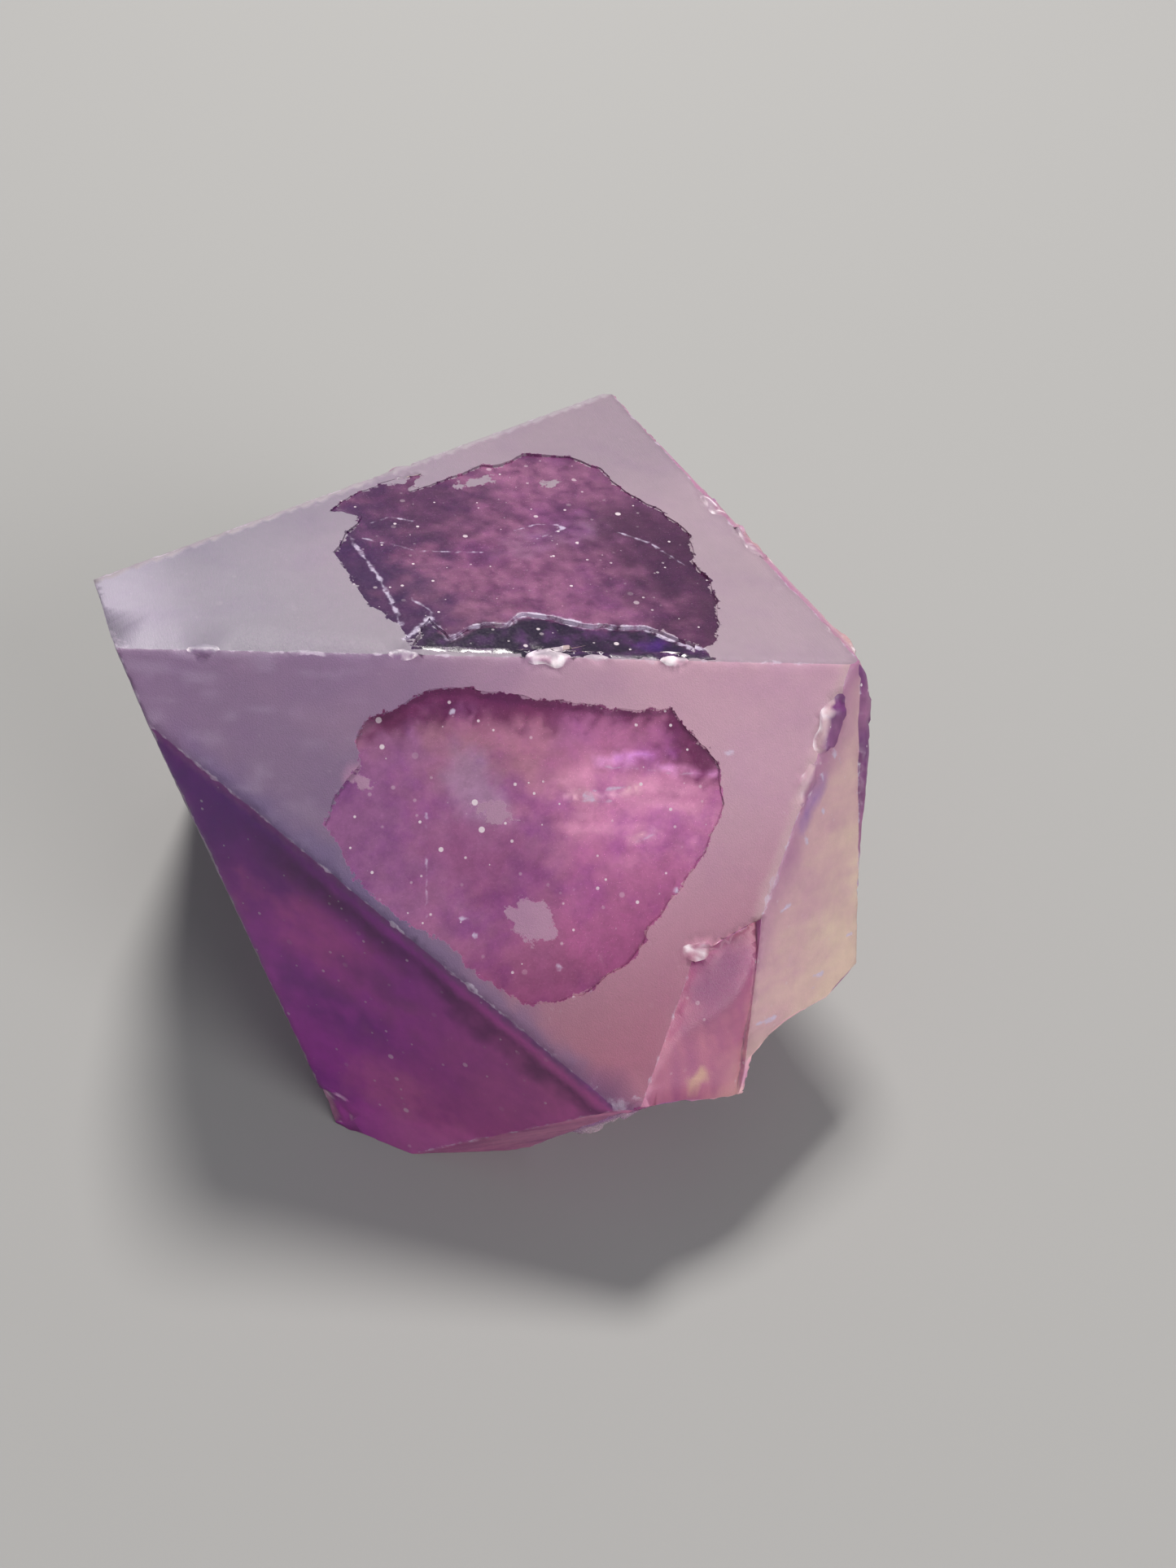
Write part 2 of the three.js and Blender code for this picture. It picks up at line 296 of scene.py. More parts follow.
def one_plane(i, j):
    """Whether two triangles lie in the same face."""
    return kind[i] == kind[j] and face_of[i] == face_of[j] and kind[i] in FLAT


for sides in edge_sides.values():
    if len(sides) == 2 and one_plane(*sides):
        group[root(sides[0])] = root(sides[1])
groups = {}
for i in range(len(triangles)):
    groups.setdefault(root(i), []).append(i)

# ---- remesh each group with points at an even spacing; shared edges are split once ----
points = list(corners)
split = {}


def split_edge(a, b):
    """The new points along an edge, from a to b."""
    key = (min(a, b), max(a, b))
    if key not in split:
        start, end = corners[key[0]], corners[key[1]]
        count = max(1, math.ceil(np.linalg.norm(end - start) / SPACING))
        split[key] = []
        for i in range(1, count):
            split[key].append(len(points))
            points.append(start + (end - start) * i / count)
    return split[key] if a == key[0] else split[key][::-1]


def inside(spots, flat_triangles):
    """Which of the spots lie in one of the triangles."""
    found = np.zeros(len(spots), bool)
    for a, b, c in flat_triangles:
        lo, hi = np.minimum(np.minimum(a, b), c), np.maximum(np.maximum(a, b), c)
        near = np.flatnonzero(((spots >= lo) & (spots <= hi)).all(1) & ~found)
        if not len(near):
            continue
        p = spots[near]
        turns = [(q[0] - o[0]) * (p[:, 1] - o[1]) - (q[1] - o[1]) * (p[:, 0] - o[0])
                 for o, q in ((a, b), (b, c), (c, a))]
        found[near[(np.stack(turns) >= -1e-9).all(0)]] = True
    return found


def left_of(rim_edges, faces):
    """The triangles that lie on the left of the rim's edges, and all that join them."""
    owner = {}
    for i, (a, b, c) in enumerate(faces):
        owner[a, b] = owner[b, c] = owner[c, a] = i
    walls = set(rim_edges) | {(b, a) for a, b in rim_edges}
    found = {owner[edge] for edge in rim_edges if edge in owner}
    waiting = list(found)
    while waiting:
        a, b, c = faces[waiting.pop()]
        for edge in ((a, b), (b, c), (c, a)):
            beyond = owner.get((edge[1], edge[0]))
            if edge not in walls and beyond is not None and beyond not in found:
                found.add(beyond)
                waiting.append(beyond)
    return [faces[i] for i in sorted(found)]


def even_grid(rim, flat_triangles):
    """A jittered grid of spots over the group."""
    lo, hi = rim.min(0), rim.max(0)
    steps = np.maximum(((hi - lo) / SPACING).astype(int) + 2, 1)
    grid = np.stack(np.meshgrid(np.arange(steps[0]), np.arange(steps[1])), axis=-1)
    grid = grid.reshape(-1, 2).astype(float)
    grid[:, 0] += 0.5 * (grid[:, 1] % 2)
    grid[:, 1] *= 0.9
    grid = lo + (grid + rng.uniform(-0.18, 0.18, grid.shape)) * SPACING
    return grid[inside(grid, flat_triangles)]


def with_lines(grid, spots):
    """The grid with the spots of the lines in it."""
    if not len(spots):
        return grid
    apart = np.linalg.norm(grid[:, None] - spots[None], axis=2).min(1) if len(grid) else np.zeros(0)
    return np.concatenate([grid[apart > 0.6 * SPACING], spots])


def nearest(places, targets):
    """Distance from each place to the nearest target."""
    tree = KDTree(len(targets))
    for i, p in enumerate(targets):
        tree.insert(p, i)
    tree.balance()
    return np.array([tree.find(p)[2] for p in places])


def off_rim(grid, rim):
    """The grid without what lies too near to the rim."""
    if not len(grid):
        return grid
    level_grid, level_rim = (np.column_stack([spots, np.zeros(len(spots))]) for spots in (grid, rim))
    return grid[nearest(level_grid, level_rim) > 0.5 * SPACING]


SEEDS = {  # the fine mesh gets points on every line that is drawn on it
    ("top", GROUND): seeds_on("top", TOP_CRACKS),
    ("top", FLOOR): seeds_on("top", TOP_CRACKS + TOP_SCRATCHES),
    ("front", GROUND): seeds_on("front", FRONT_SPARKLES),
    ("front", FLOOR): seeds_on("front", FRONT_STREAKS + FRONT_SPARKLES),
    ("front", SIDE): seeds_on("front", SIDE_SPARKLES, on_side=True),
}
new_triangles, new_kind, new_face = [], [], []
for members in groups.values():
    loop_edges = []
    for i in members:
        for a, b in zip(triangles[i], np.roll(triangles[i], -1)):
            sides = edge_sides[(min(a, b), max(a, b))]
            if not (len(sides) == 2 and root(sides[0]) == root(sides[1])):
                loop_edges.append((a, b))
    largest = members[int(np.argmax(areas[members]))]
    out = normals[largest] if areas[largest] >= 1e-9 else np.array([0, 0, 1.0])
    x = np.cross(out, [0.31, 0.52, 0.79])
    x /= np.linalg.norm(x)
    y = np.cross(out, x)
    flatten = np.stack([x, y], axis=1)
    origin = corners[triangles[largest][0]]
    ids, edges = {}, []  # the rim's points in the order they are met, and the edges between them
    for a, b in loop_edges:
        chain = [a, *split_edge(a, b), b]
        for p in chain:
            ids.setdefault(p, len(ids))
        edges += [(ids[p], ids[q]) for p, q in zip(chain, chain[1:])]
    order = list(ids)
    rim = (np.array([points[i] for i in order]) - origin) @ flatten
    flat_triangles = (spans[members] - origin) @ flatten
    grid = even_grid(rim, flat_triangles)
    # The places on drawn lines are dropped onto the group.
    on_line, drop = SEEDS.get((NAMES[face_of[largest]], kind[largest]), (None, None))
    if on_line is not None and abs(out @ drop) > 0.5:
        fallen = on_line + np.outer(((origin - on_line) @ out) / (out @ drop), drop)
        spots = (fallen - origin) @ flatten
        grid = with_lines(grid, spots[inside(spots, flat_triangles)])
    grid = off_rim(grid, rim)
    flat_points = [Vector(p) for p in rim] + [Vector(p) for p in grid]
    verts, _, faces, source, _, _ = delaunay_2d_cdt(flat_points, edges, [], 0, 1e-7)
    numbers = []  # of the flat points, among all points
    for where, origins in zip(verts, source):
        if origins and origins[0] < len(order):
            numbers.append(order[origins[0]])
        else:
            numbers.append(len(points))
            points.append(origin + flatten @ np.array(where))
    rim_edges = [(order[a], order[b]) for a, b in edges]
    kept = left_of(rim_edges, [tuple(numbers[i] for i in f) for f in faces])
    new_triangles += kept
    new_kind += [kind[largest]] * len(kept)
    new_face += [face_of[largest]] * len(kept)

used, renumbered = np.unique(new_triangles, return_inverse=True)
points, fine = np.array(points)[used], renumbered.reshape(-1, 3)
fine_kind, fine_face = np.array(new_kind), np.array(new_face)

# ---- which surfaces each point touches ----
surface = fine_kind * 10 + np.maximum(fine_face, 0)
surface[fine_kind == BROKEN] = BROKEN * 10
first = np.full(len(points), 10**6)
last = np.full(len(points), -1)
for i in range(3):
    np.minimum.at(first, fine[:, i], surface)
    np.maximum.at(last, fine[:, i], surface)
inner = first == last
first_kind, last_kind = first // 10, last // 10

links = np.concatenate([fine[:, [0, 1]], fine[:, [1, 2]], fine[:, [2, 0]]])
links = np.unique(np.sort(links, axis=1), axis=0)


def smooth(values, free, rounds):
    """Each free value moves to the mean of its neighbours."""
    a, b = links[:, 0], links[:, 1]
    count = np.bincount(a, minlength=len(values)) + np.bincount(b, minlength=len(values))
    for _ in range(rounds):
        total = [np.bincount(a, values[b, k], len(values)) + np.bincount(b, values[a, k], len(values))
                 for k in range(values.shape[1])]
        values[free] = (np.stack(total, axis=1) / count[:, None])[free]
    return values


def point_normals():
    """The direction out of the surface at each point."""
    out = np.zeros_like(points)
    span = points[fine]
    normal = np.cross(span[:, 1] - span[:, 0], span[:, 2] - span[:, 0])
    for i in range(3):
        np.add.at(out, fine[:, i], normal)
    return out / np.maximum(np.linalg.norm(out, axis=1), 1e-12)[:, None]


def points_of(chosen):
    """Which points the chosen triangles use."""
    found = np.zeros(len(points), bool)
    found[fine[chosen].reshape(-1)] = True
    return found


def flat_on(name, places):
    """Places as down and across on a tip face, with no height."""
    down, across, _ = on_face(name, places)
    return np.stack([down, across, np.zeros_like(down)], axis=1)


def step(value, low, high):
    """Smoothly from 0 below the lower limit to 1 above the higher one."""
    t = np.clip((value - low) / (high - low), 0, 1)
    return t * t * (3 - 2 * t)


def facet(place, scale, spread):
    """Height on one of the tilted facets that the cells of this scale have."""
    cell = noise.voronoi(place * scale)[1][0]
    return (place * scale - cell).dot(noise.cell_vector(cell * spread))


# The broken base loses the flats of its solid and gets splinters and ripples. The step down to the
# ledge keeps its flat.
down, across, _ = on_face("front", points)
outwards = from_side("front", points)
stepped_points = (outwards > LEDGE - 0.3) & (outwards < SIDE_FACE["front"] + 0.3)
stepped_points &= (across < 3) & (down > 45)
bevelled = np.abs((points - TIP) @ BEVEL - BEVEL_DISTANCE) < 0.45
chip_points = near_chips(points, 2, 1.8)
broken = inner & (first_kind == BROKEN) & ~stepped_points
points = smooth(points, broken & ~bevelled & ~chip_points, rounds=60)
points = smooth(points, broken & (bevelled | chip_points), rounds=5)
edge_gap = nearest(points[broken], points[~inner])
outward = point_normals()[broken]
relief = np.zeros(len(edge_gap))
for i, p in enumerate(points[broken]):
    v = Vector(p)
    relief[i] = 1.5 * facet(v, 0.14, 3.7) + 0.4 * facet(v, 0.45, 5.1) + 0.25 * noise.noise(v * 0.35)
# The depth of the relief, for the painted shade in the hollows and the painted highlights on the raised
# parts.
relief_for_shading = np.zeros(len(points))  # how far the relief goes in, for the colours
relief_for_shading[broken] = relief * step(edge_gap, 0, 1.2)
strength = np.where(bevelled, BEVEL_RELIEF, np.where(chip_points, 0, 1))[broken]
points[broken] -= outward * (strength * (relief + 0.35) * step(edge_gap, 0, 2.2))[:, None]

# The chips are shallower than in the solid.
planes = [(DIRECTIONS[name][2], TIP_FACE[name]) for name in NAMES]
planes += [(DIRECTIONS[name][3], SIDE_FACE[name]) for name in NAMES]


def depths_under(places):
    """How deep the places lie under each tip face and each side face."""
    return np.stack([distance - (places - TIP) @ normal for normal, distance in planes])


depths = depths_under(points)
closest = depths.argmin(0)
for i in np.flatnonzero(broken & chip_points & ~bevelled):
    if 0 < depths[closest[i], i] < CHIP_REACH:
        points[i] += planes[closest[i]][0] * depths[closest[i], i] * (1 - CHIP_DEPTH)

# The bevel bulges, and the corner above it is worn round.
bulge = BULGE * np.exp(-(((points[:, 2] - BULGE_HEIGHT) / BULGE_SPREAD) ** 2))
points += np.outer(bulge * (bevelled & (last_kind == BROKEN) & (first_kind != SIDE)), BEVEL)
points = smooth(points, np.linalg.norm(points - BEVEL_CORNER, axis=1) < CORNER_REACH, rounds=12)

# The step down to the ledge is lower than in the solid, most of all at its upper end.
outwards = from_side("front", points)
beyond_start = (TIP - points) @ AXIS - STEP_START[0]
over_start = (points - TIP) @ DIRECTIONS["front"][1] - STEP_START[1]
beside_step = STEP_RUN[1] * beyond_start - STEP_RUN[0] * over_start
along_step = STEP_RUN[0] * beyond_start + STEP_RUN[1] * over_start
share = (0.97 - 0.16 * step(along_step, 4, 13)) * (1 - step(beside_step, 0.3, 8))
share *= step(outwards, 28, LEDGE) * (beside_step > -0.6)
room = 0.75 * np.clip(-on_face("front", points)[2], 0, None) / NEARER
lift = np.minimum(share * np.clip(SIDE_FACE["front"] - outwards, 0, STEP_HEIGHT), room)
points += np.outer(lift * (along_step > -2), DIRECTIONS["front"][3])

# Window floors are smooth with low hillocks, and lie closer to the face than in the solid.
for number, name in enumerate(NAMES):
    mine = inner & (first == FLOOR * 10 + number)
    if mine.any():
        level = on_face(name, points)[2]
        change = smooth(level[:, None].copy(), mine, rounds=25)[:, 0] - level
        points += np.outer(change, DIRECTIONS[name][2])
    sunk = points_of((fine_face == number) & np.isin(fine_kind, (FLOOR, WALL)))
    height = on_face(name, points)[2]
    rise = height * np.where(sunk & (height < 0), 1 - SHALLOW, 0)
    points -= DIRECTIONS[name][2] * rise[:, None]

# The outlines of the windows are ragged: the face and the floor slide together in the face's plane.
for number, name in enumerate(NAMES):
    mine = (fine_face == number) & np.isin(fine_kind, TIP_KINDS)
    of_face, others = points_of(mine), points_of(~mine)
    walls = points_of((fine_face == number) & (fine_kind == WALL))
    if not walls.any():
        continue
    which = np.flatnonzero(of_face & ~others)
    spots = flat_on(name, points[which])
    amount = 1 - step(nearest(spots, flat_on(name, points[walls])), 0.1, 1.8)
    amount *= step(nearest(spots, flat_on(name, points[others & of_face])), 0.2, 1.2)
    for i, p, much in zip(which, spots, amount):
        if much > 0:
            v = Vector(p)
            slide = noise.noise_vector(v * 0.8 + Vector((0, 0, number))) * 0.3
            slide += noise.noise_vector(v * 1.9 + Vector((0, 0, number + 9))) * 0.1
            points[i] += (DIRECTIONS[name][0] * slide.x + DIRECTIONS[name][1] * slide.y) * much

# So are the chips' outlines, and what lies in a face stays in it.
face_normals = {}
for number, name in enumerate(NAMES):
    face_normals[GROUND * 10 + number] = DIRECTIONS[name][2]
    face_normals[SIDE * 10 + number] = DIRECTIONS[name][3]
for name, down_at, across_at, radius, _ in CHIPS:
    down, across, height = on_face(name, points)
    gap = np.hypot(down - down_at, across - across_at) / radius
    for i in np.flatnonzero((gap < 3) & (np.abs(height) < 2.2 * radius)):
        slide = np.array(noise.noise_vector(Vector(points[i]) * 0.7)) * 0.26
        for code, normal in face_normals.items():
            if code in (first[i], last[i]):
                slide = slide - normal * (slide @ normal)
        points[i] += slide * radius * (1 - step(np.array(gap[i]), 1.2, 2.8))

# Every edge has lost a little to wear.
worn = np.zeros(len(points))
for i in np.flatnonzero(~inner & (first_kind != FLOOR) & (last_kind != WALL)):
    v = Vector(points[i])
    rubbed = max(0.0, noise.noise(v * 0.31 + Vector((5, 5, 5))) - 0.2)
    worn[i] = 0.06 + 0.16 * max(0.0, noise.noise(v * 0.9)) + 0.25 * rubbed
points -= point_normals() * worn[:, None]
points = np.clip(points, *(np.array(corner) / MM for corner in cad_box))


# ---- paint each corner of the mesh ----
# tint is the colour, and polished is the windows' colour with their clearness as its alpha. cover holds
# how rough the surface is, how much light it lets through and how strongly it is ground. marks holds
# distances: to the crack lines and painted sparkles, the ground islands, the windows' outlines and the
# edges.
def srgb(r, g, b):
    """A colour from 0 to 255, made linear."""
    c = np.array([r, g, b]) / 255
    return np.where(c < 0.04045, c / 12.92, ((c + 0.055) / 1.055) ** 2.4)


def mix(a, b, t):
    """From colour a to colour b, by the share t at each corner."""
    return a + (b - a) * np.asarray(t)[:, None]


def soft(value):
    """The value, kept from 0 to 1."""
    return np.clip(value, 0, 1)


def turned(down, across, degrees):
    """The same places along a direction that is turned from down, and beside it."""
    t = math.radians(degrees)
    return down * math.cos(t) + across * math.sin(t), across * math.cos(t) - down * math.sin(t)


def clouds(size, seed):
    """Soft noise from 0 to 1 at each corner, with clouds of about this size."""
    at = Vector((seed, seed, seed))
    values = np.array([noise.fractal(Vector(p) / size + at, 0.8, 2.1, 3) for p in points])
    return soft(0.5 + 0.6 * values)[fine.reshape(-1)]


def streaks(name, turn, length, width, seed):
    """Noise from 0 to 1 that is drawn out along one direction of a face, in degrees from down."""
    down, across, _ = on_face(name, points)
    x, y = turned(down, across, turn)
    values = [noise.fractal(Vector((p, q, seed)), 0.8, 2.1, 2) for p, q in zip(x / length, y / width)]
    return soft(0.5 + 0.7 * np.array(values))[fine.reshape(-1)]


def line_gap(d, a, line):
    """Distance in a face's plane to a line through the given places."""
    here = np.stack([d, a], axis=1)
    gap = np.full(len(here), 1e3)
    for start, end in zip(np.array(line[:-1], float), np.array(line[1:], float)):
        run = end - start
        t = soft(((here - start) @ run) / (run @ run))
        gap = np.minimum(gap, np.linalg.norm(here - start - t[:, None] * run, axis=1))
    return gap


def oval_gap(d, a, at, size, turn):
    """Rough signed distance to an oval on a face: below zero inside it."""
    x, y = turned(d - at[0], a - at[1], turn)
    return (np.hypot(x / size[0], y / size[1]) - 1) * min(size)


def of(name, *kinds):
    """The corners of the tip face of this name, or those that have these kinds of surface."""
    return (corner_face == NAMES.index(name)) & np.isin(corner_kind, kinds or TIP_KINDS)


corner_points = points[fine].reshape(-1, 3)
corner_kind = np.repeat(fine_kind, 3)
corner_face = np.repeat(fine_face, 3)
along = (TIP - corner_points) @ AXIS  # down the long axis from the tip
places = {name: on_face(name, corner_points) for name in NAMES}
broad, middling, small = clouds(14, 3), clouds(6, 11), clouds(2.2, 23)
drift, fray = middling - 0.5, small - 0.5  # these shift the limits of zones, softly and finely


def patch(d, a, at, size, turn, ragged, low, high):
    """1 in the middle of an oval on a face and 0 outside it, with a ragged rim between."""
    return 1 - step(oval_gap(d, a, at, size, turn) + ragged * fray, low, high)


tint = np.zeros((len(along), 3))
frost, clear, grind = np.zeros((3, len(along)))

# Ground faces: grey lavender near the tip and pinker towards the base.
# On each face, d and a are down and across.
ground = np.isin(corner_kind, TIP_KINDS)
lavender = mix(srgb(182, 174, 192), srgb(200, 175, 190), step(along + 6 * (broad - 0.5), 8, 40))
tint[ground] = lavender[ground]
frost[ground], clear[ground], grind[ground] = 0.6, (0.4 + 0.2 * step(along, 4, 9))[ground], 1
d, a, _ = places["top"]
on_top = of("top")
lavender = mix(lavender, lavender * srgb(230, 232, 236), step(a + 4 * drift, 4, 14))
tint[on_top] = lavender[on_top]
under_top = -((corner_points - TIP) @ DIRECTIONS["top"][2])
under_back = TIP_FACE["back"] - (corner_points - TIP) @ DIRECTIONS["back"][2]
edged = ground & (under_top < 0.45) & (under_back < 0.45)  # the edge between these two faces
tint[edged], clear[edged] = srgb(164, 154, 162), 0.25

# The front face is hazy and pink, and bluish along its lower edge.
d, a, _ = places["front"]
on_front = of("front")
pink = soft(step(d + 0.5 * a, 20, 50) + 0.2 * drift)
hazy = mix(srgb(162, 132, 170), srgb(240, 192, 212), pink)
hazy = mix(hazy, srgb(200, 124, 150), step(d - 1.2 * a, 36, 66))
hazy = mix(hazy, srgb(240, 206, 206), 0.6 * step(d + 0.2 * fray, 52.6, 53.1))
bluish = 1 - step(a + RIDGE * d + 1.4 * fray, 0.3, 2.4)
hazy = mix(hazy, srgb(128, 108, 164), 0.6 * bluish * step(d, 8, 14))
brushed = streaks("front", 20, 4, 1, 21)
hazy = mix(hazy, srgb(206, 186, 216), 0.3 * step(brushed, 0.55, 0.85) * (1 - step(d, 16, 24)))
for at, size, turn in FRONT_ISLANDS:
    hazy = mix(hazy, srgb(222, 166, 204), 0.8 * patch(d, a, at, size, turn, 0, 0.3, 0.9))
tint[on_front] = hazy[on_front]
clear[on_front] = 0.55

# The left face is clearer and deep in colour, with a band of painted shade along its upper edge.
d, a, _ = places["left"]
on_left = of("left", GROUND)
band = RIDGE * d - a  # how far below the edge with the front face
deep = soft(step(d + 0.6 * band, 12, 38) + 0.35 * drift)
deep = mix(srgb(86, 26, 120), srgb(194, 82, 186), deep)
deep = mix(deep, srgb(212, 114, 178), 0.8 * step(d + 0.5 * a + 4 * fray, 38, 54))
orchid = patch(d, a, (28.6, 3.2), (3.8, 2), 20, 4, -1.5, 3)
deep = mix(deep, srgb(222, 124, 178), 0.7 * orchid)
for at, size, weight in LEFT_PATCHES:
    deep = mix(deep, srgb(88, 30, 128), weight * patch(d, a, at, size, 35, 3.4, -1.2, 2))
bright = patch(d, a, (42, -1.6), (4, 2.6), 20, 4, -2.2, 2.4)
deep = mix(deep, srgb(236, 138, 196), 0.65 * bright)
# Painted shade: a dark band a little below the edge with the front face.
edge_shade = step(band + 0.6 * fray, 0.9, 1.8) * (1 - step(band + 2.4 * fray, 1.6, 4.6))
deep = mix(deep, srgb(78, 16, 84), 0.75 * edge_shade * step(d, 12, 24))
upper_shade, lower_shade = np.array([1.04, 0.58, 1.12]), np.array([1.04, 0.76, 0.96])
deep = deep * mix(upper_shade, lower_shade, step(d + 0.5 * a, 34, 44))
foot = 1 - step(corner_points[:, 2] + fray, 2.5, 6.5)  # where it nears the floor
deep = mix(deep, deep * np.array([0.72, 1, 0.74]), foot)
deep = mix(srgb(146, 84, 150), deep, step(band, 0.2, 0.8))
tint[on_left] = deep[on_left]
frost[on_left], clear[on_left], grind[on_left] = 0.4, (0.55 - 0.24 * foot)[on_left], 0.6

# Windows, in a colour of their own: the material turns from tint to polished at their ragged outlines.
# First the top window, with a dark strip under the large crack and a painted glint in it.
polished = tint.copy()
d, a, _ = places["top"]
mottled = clouds(1.1, 31)
glass = mix(srgb(132, 72, 120), srgb(186, 120, 162), soft(0.8 * middling + 1.5 * mottled - 0.65))
glass = mix(glass, srgb(78, 30, 76), 0.85 * step(d + 6 * fray, 38, 46) * (1 - step(a, 4, 10)))
glass = mix(glass, srgb(66, 26, 94), 0.88 * (1 - step(d + 6 * fray, 23, 31)))
hazed = patch(d, a, (39, 3.4), (3.6, 1.6), 10, 3, -1, 1.6)
glass = mix(glass, srgb(190, 150, 186), 0.5 * hazed * mottled)
upper_left = patch(d, a, (31, 10), (5, 4), 20, 5, -2, 3)
glass = mix(glass, srgb(78, 36, 86), 0.7 * upper_left)
below = np.interp(d, *np.array(TOP_CRACKS[0]).T) - a
strip = step(below + 0.3 * fray, -0.1, 0.4) * step(d, 23.4, 24.4) * (1 - step(d, 43.4, 44.4))
shadowy = mix(srgb(44, 12, 62), srgb(104, 56, 120), soft(2.4 * mottled - 1.1))
# A painted violet glint near the right end of the dark strip.
violet_glint = 1 - step(np.hypot(d - 40.8, a + 12.2) + small, 0.8, 2)
shadowy = mix(shadowy, srgb(104, 30, 170), 0.9 * violet_glint)
glass = mix(glass, shadowy, strip)
polished[on_top] = glass[on_top]
lip = of("top", GROUND) & (strip > 0.5) & (a + RIDGE * d > 0.1)  # of the strip, outside the window

# The front window.
d, a, _ = places["front"]
glass = soft(step(d, 24, 44) + 0.5 * drift + 0.4 * (mottled - 0.5))
glass = mix(srgb(208, 134, 194), srgb(236, 146, 196), glass)
glass = mix(glass, srgb(180, 78, 142), 0.8 * step(d - 1.2 * a, 40, 56))
wine = patch(d, a, (33.4, -4.4), (5, 3), 10, 3, -2.4, 1.8)
glass = mix(glass, srgb(178, 84, 154), 0.5 * wine)
tan = patch(d, a, (30, 4.2), (5, 2.4), 12, 4, -1.5, 2.5)
glass = mix(glass, srgb(228, 158, 176), 0.65 * tan)
pearly = patch(d, a, (30.6, 1.2), (2.4, 1.6), -30, 2, -0.8, 1)
glass = mix(glass, srgb(226, 176, 220), 0.75 * pearly)
# A painted glow of soft pink light, fanning round the glints below; it also clouds the window there.
fan = step(streaks("front", 14, 9, 0.9, 5), 0.3, 0.7)
spread = patch(d, a, (42, 3.6), (6.6, 3.4), 16, 3, -2.8, 1.6)
glass = mix(glass, srgb(240, 164, 202), spread * (0.5 + 0.5 * fan))
glint = np.zeros(len(tint))
for line, color in FRONT_GLINTS:
    lit = 1 - step(line_gap(d, a, line) + 0.5 * fray, 0, 0.45)
    glass = mix(glass, srgb(*color), 0.8 * lit)
    glint = np.maximum(glint, lit)
# Painted shadow of the window's upper wall: a dark, crenellated band along its upper outline.
comb = streaks("front", 70, 2.5, 0.55, 9)
recess_shadow_gap = line_gap(d, a, FRONT_WINDOW_TOP) + 1.2 * (comb - 0.5)
recess_shadow_gap += 2 * (mottled - 0.5) + 1.2 * step(d, 32, 36) * (1 - step(d, 42, 45))
glass = mix(glass, srgb(124, 34, 96), 0.9 * (1 - step(recess_shadow_gap, 1.2, 4)))
lilac = (1 - step(d + 4 * fray, 23, 30)) * (1 - step(a, -2, 3))
glass = mix(glass, srgb(182, 112, 176), 0.5 * lilac)
polished[on_front] = glass[on_front]
see_through = np.full(len(tint), 0.6)
glow_opacity = 0.26 * spread * (0.6 + 0.4 * fan)
see_through[on_front] -= np.maximum(glow_opacity, 0.4 * glint)[on_front]

# The windows that the photo doesn't show.
hidden = of("back") | of("rear")
glass = mix(srgb(120, 62, 132), srgb(180, 104, 160), soft(1.8 * middling - 0.4))
polished[hidden] = glass[hidden]

# Side faces: milky, pale pink and beige towards the base.
on_side = np.isin(corner_kind, (SIDE, LEDGED))
d, a, _ = places["front"]
sheer = streaks("front", 40, 6, 0.8, 25)
beige = soft(step(along + 3 * fray, 44, 54) + 0.5 * (sheer - 0.5))
beige = mix(srgb(230, 186, 190), srgb(246, 218, 196), beige)
beige = mix(srgb(198, 140, 174), beige, step(along + 2 * drift - 1.2 * step(a, 8, 12), 41.6, 44.6))
for along_at, across_at in SIDE_PATCHES:
    gap = np.hypot((along - along_at) / 0.6, (a - across_at) / 1.3) + 1.2 * fray
    beige = mix(beige, srgb(158, 116, 190), 0.45 * (1 - step(gap, 0.3, 1.2)))
tint[on_side] = beige[on_side]
frost[on_side], clear[on_side], grind[on_side] = 0.4, 0.4, 0.8
ledge = corner_kind == LEDGED
combed = streaks("front", -62, 7, 1, 15)
rosy = mix(srgb(188, 98, 146), srgb(226, 140, 162), soft(0.9 * combed + 0.5 * drift))
plum = 1 - step(np.hypot((along - 41) / 2.4, (a + 6.4) / 4) + 0.7 * fray, 0.2, 1.3)
rosy = mix(rosy, srgb(138, 42, 112), 0.85 * plum)
rosy = mix(rosy, srgb(232, 168, 170), step(along + 2 * fray, 43.4, 47))
apricot = 0.8 - 0.8 * step(np.hypot(along - 43, a + 13.2) + 1.2 * fray, 0.3, 0.9)
rosy = mix(rosy, srgb(250, 206, 170), apricot)
tint[ledge] = rosy[ledge]
left_side = of("left", SIDE)
ribbed = streaks("left", 80, 12, 0.7, 33)
tint[left_side] = mix(srgb(170, 84, 140), srgb(222, 140, 178), soft(1.6 * ribbed - 0.4))[left_side]
resting = corner_kind == REST
tint[resting] = mix(srgb(190, 110, 190), srgb(236, 206, 200), step(along, 10, 45))[resting]
frost[resting], clear[resting], grind[resting] = 0.5, 0.3, 1

